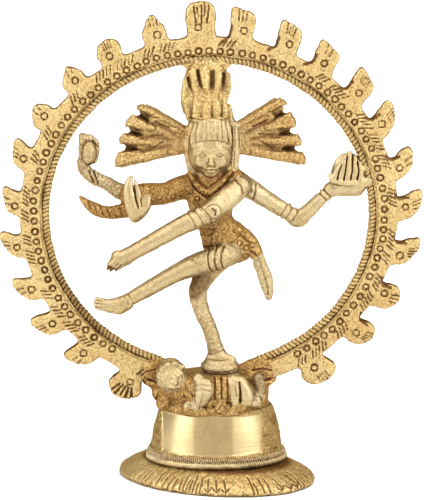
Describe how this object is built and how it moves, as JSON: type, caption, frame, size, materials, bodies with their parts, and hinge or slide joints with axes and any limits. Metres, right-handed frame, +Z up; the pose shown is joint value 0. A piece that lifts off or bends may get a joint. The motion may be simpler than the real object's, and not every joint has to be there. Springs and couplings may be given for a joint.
{
  "type": "dancing figure statuette",
  "caption": "Cast brass figurine of a four-armed dancer inside a ring of flames, on a hollow oval bell-shaped pedestal.",
  "frame": {"origin": "middle of the flat underside of the foot, at the bottom centre of the bounding box", "axes": "+Z up, from the foot to the top flame; the dancer faces -Y; +X is the viewer's right when looking along +Y at the front"},
  "size_m": [0.1228, 0.0518, 0.1405],
  "materials": {
    "cast_brass": "as-cast, tumbled, satin",
    "worn_brass": "polished by wear, semi-gloss",
    "dark_brass": "cast texture with brown patina, satin",
    "brushed_brass": "belt-sanded in horizontal lines"
  },
  "bodies": {
    "root": {"pedestal_skirt": "cast_brass", "aureole_band": "cast_brass", "hair_crown": "cast_brass", "flame_01": "cast_brass", "flame_02": "cast_brass", "flame_03": "cast_brass", "flame_04": "cast_brass", "flame_05": "cast_brass", "flame_06": "cast_brass", "flame_07": "cast_brass", "flame_08": "cast_brass", "flame_09": "cast_brass", "flame_10": "cast_brass", "flame_11": "cast_brass", "flame_12": "cast_brass", "flame_13": "cast_brass", "flame_14": "cast_brass", "flame_15": "cast_brass", "flame_16": "cast_brass", "flame_17": "cast_brass", "flame_18": "cast_brass", "flame_19": "cast_brass", "flame_20": "cast_brass", "flame_21": "cast_brass", "flame_22": "cast_brass", "flame_23": "cast_brass", "pedestal_bead": "worn_brass", "foot_plinth": "worn_brass", "dwarf_head": "worn_brass", "dwarf_arm": "worn_brass", "dwarf_thigh": "worn_brass", "dwarf_foot": "worn_brass", "head": "worn_brass", "blessing_hand": "worn_brass", "rear_right_arm": "worn_brass", "drum_hand": "worn_brass", "front_left_arm": "worn_brass", "front_left_hand": "worn_brass", "rear_left_upper_arm": "worn_brass", "rear_left_forearm": "worn_brass", "fire_hand": "worn_brass", "raised_thigh": "worn_brass", "raised_shin": "worn_brass", "raised_foot": "worn_brass", "standing_leg": "worn_brass", "standing_foot": "worn_brass", "sash": "worn_brass", "aureole_rope": "dark_brass", "makara_left": "dark_brass", "makara_right": "dark_brass", "pedestal_mound": "dark_brass", "dwarf_body": "dark_brass", "torso": "dark_brass", "hips": "dark_brass", "hair_fan_left": "dark_brass", "hair_fan_right": "dark_brass", "front_right_arm": "dark_brass", "cobra": "dark_brass", "pedestal_drum": "brushed_brass"}
  },
  "joints": []
}
